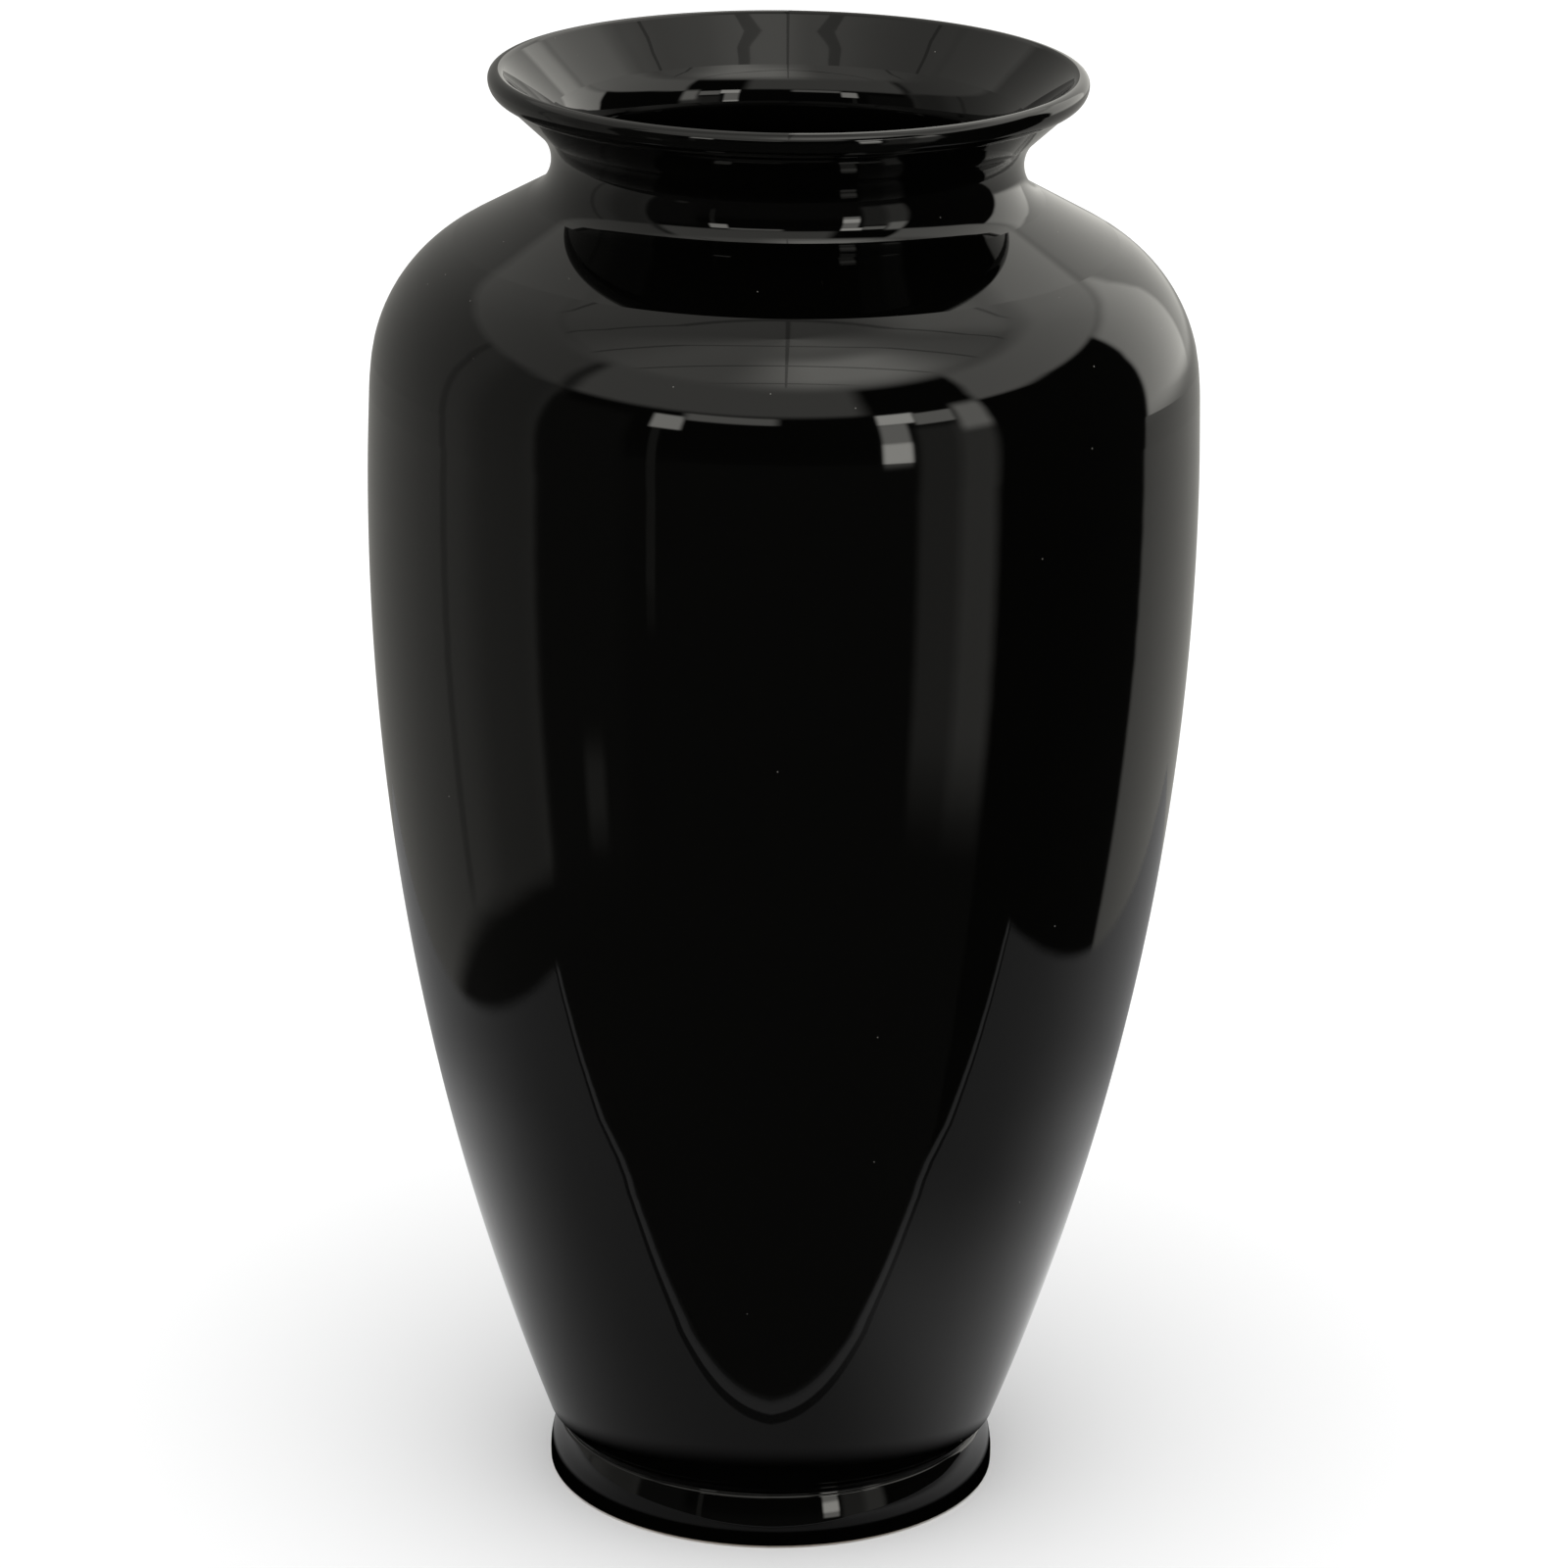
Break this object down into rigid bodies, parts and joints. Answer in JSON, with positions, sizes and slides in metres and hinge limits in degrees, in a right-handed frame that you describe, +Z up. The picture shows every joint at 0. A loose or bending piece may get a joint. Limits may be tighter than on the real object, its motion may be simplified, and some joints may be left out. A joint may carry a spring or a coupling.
{
  "type": "glazed baluster jar",
  "caption": "Tall baluster jar with a mirror-black glaze, flared mouth with a rolled lip, short neck, broad shoulder, tapering body and low convex foot band.",
  "frame": {"origin": "on the axis, at the level of the standing face", "axes": "+Z up along the jar's axis, +X and +Y across it; the jar is round, so X and Y are alike"},
  "size_m": [0.2518, 0.2518, 0.45],
  "materials": {
    "bare_clay": "matt fired clay, bare on the standing face",
    "fired_slip": "matt fired slip",
    "outer_glaze": "mirror gloss black glaze",
    "liner_glaze": "gloss black glaze",
    "foot_well_glaze": "gloss black glaze, thinner under the floor"
  },
  "bodies": {
    "root": {"foot_ring": "bare_clay", "lower_body": "bare_clay", "belly_section": "bare_clay", "shoulder_section": "bare_clay", "neck_collar": "bare_clay", "lip_coil": "bare_clay", "foot_slip": "fired_slip", "lower_slip": "fired_slip", "upper_slip": "fired_slip", "neck_slip": "fired_slip", "lip_slip": "fired_slip", "outer_glaze": "outer_glaze", "liner_glaze": "liner_glaze", "foot_well_glaze": "foot_well_glaze"}
  },
  "joints": []
}
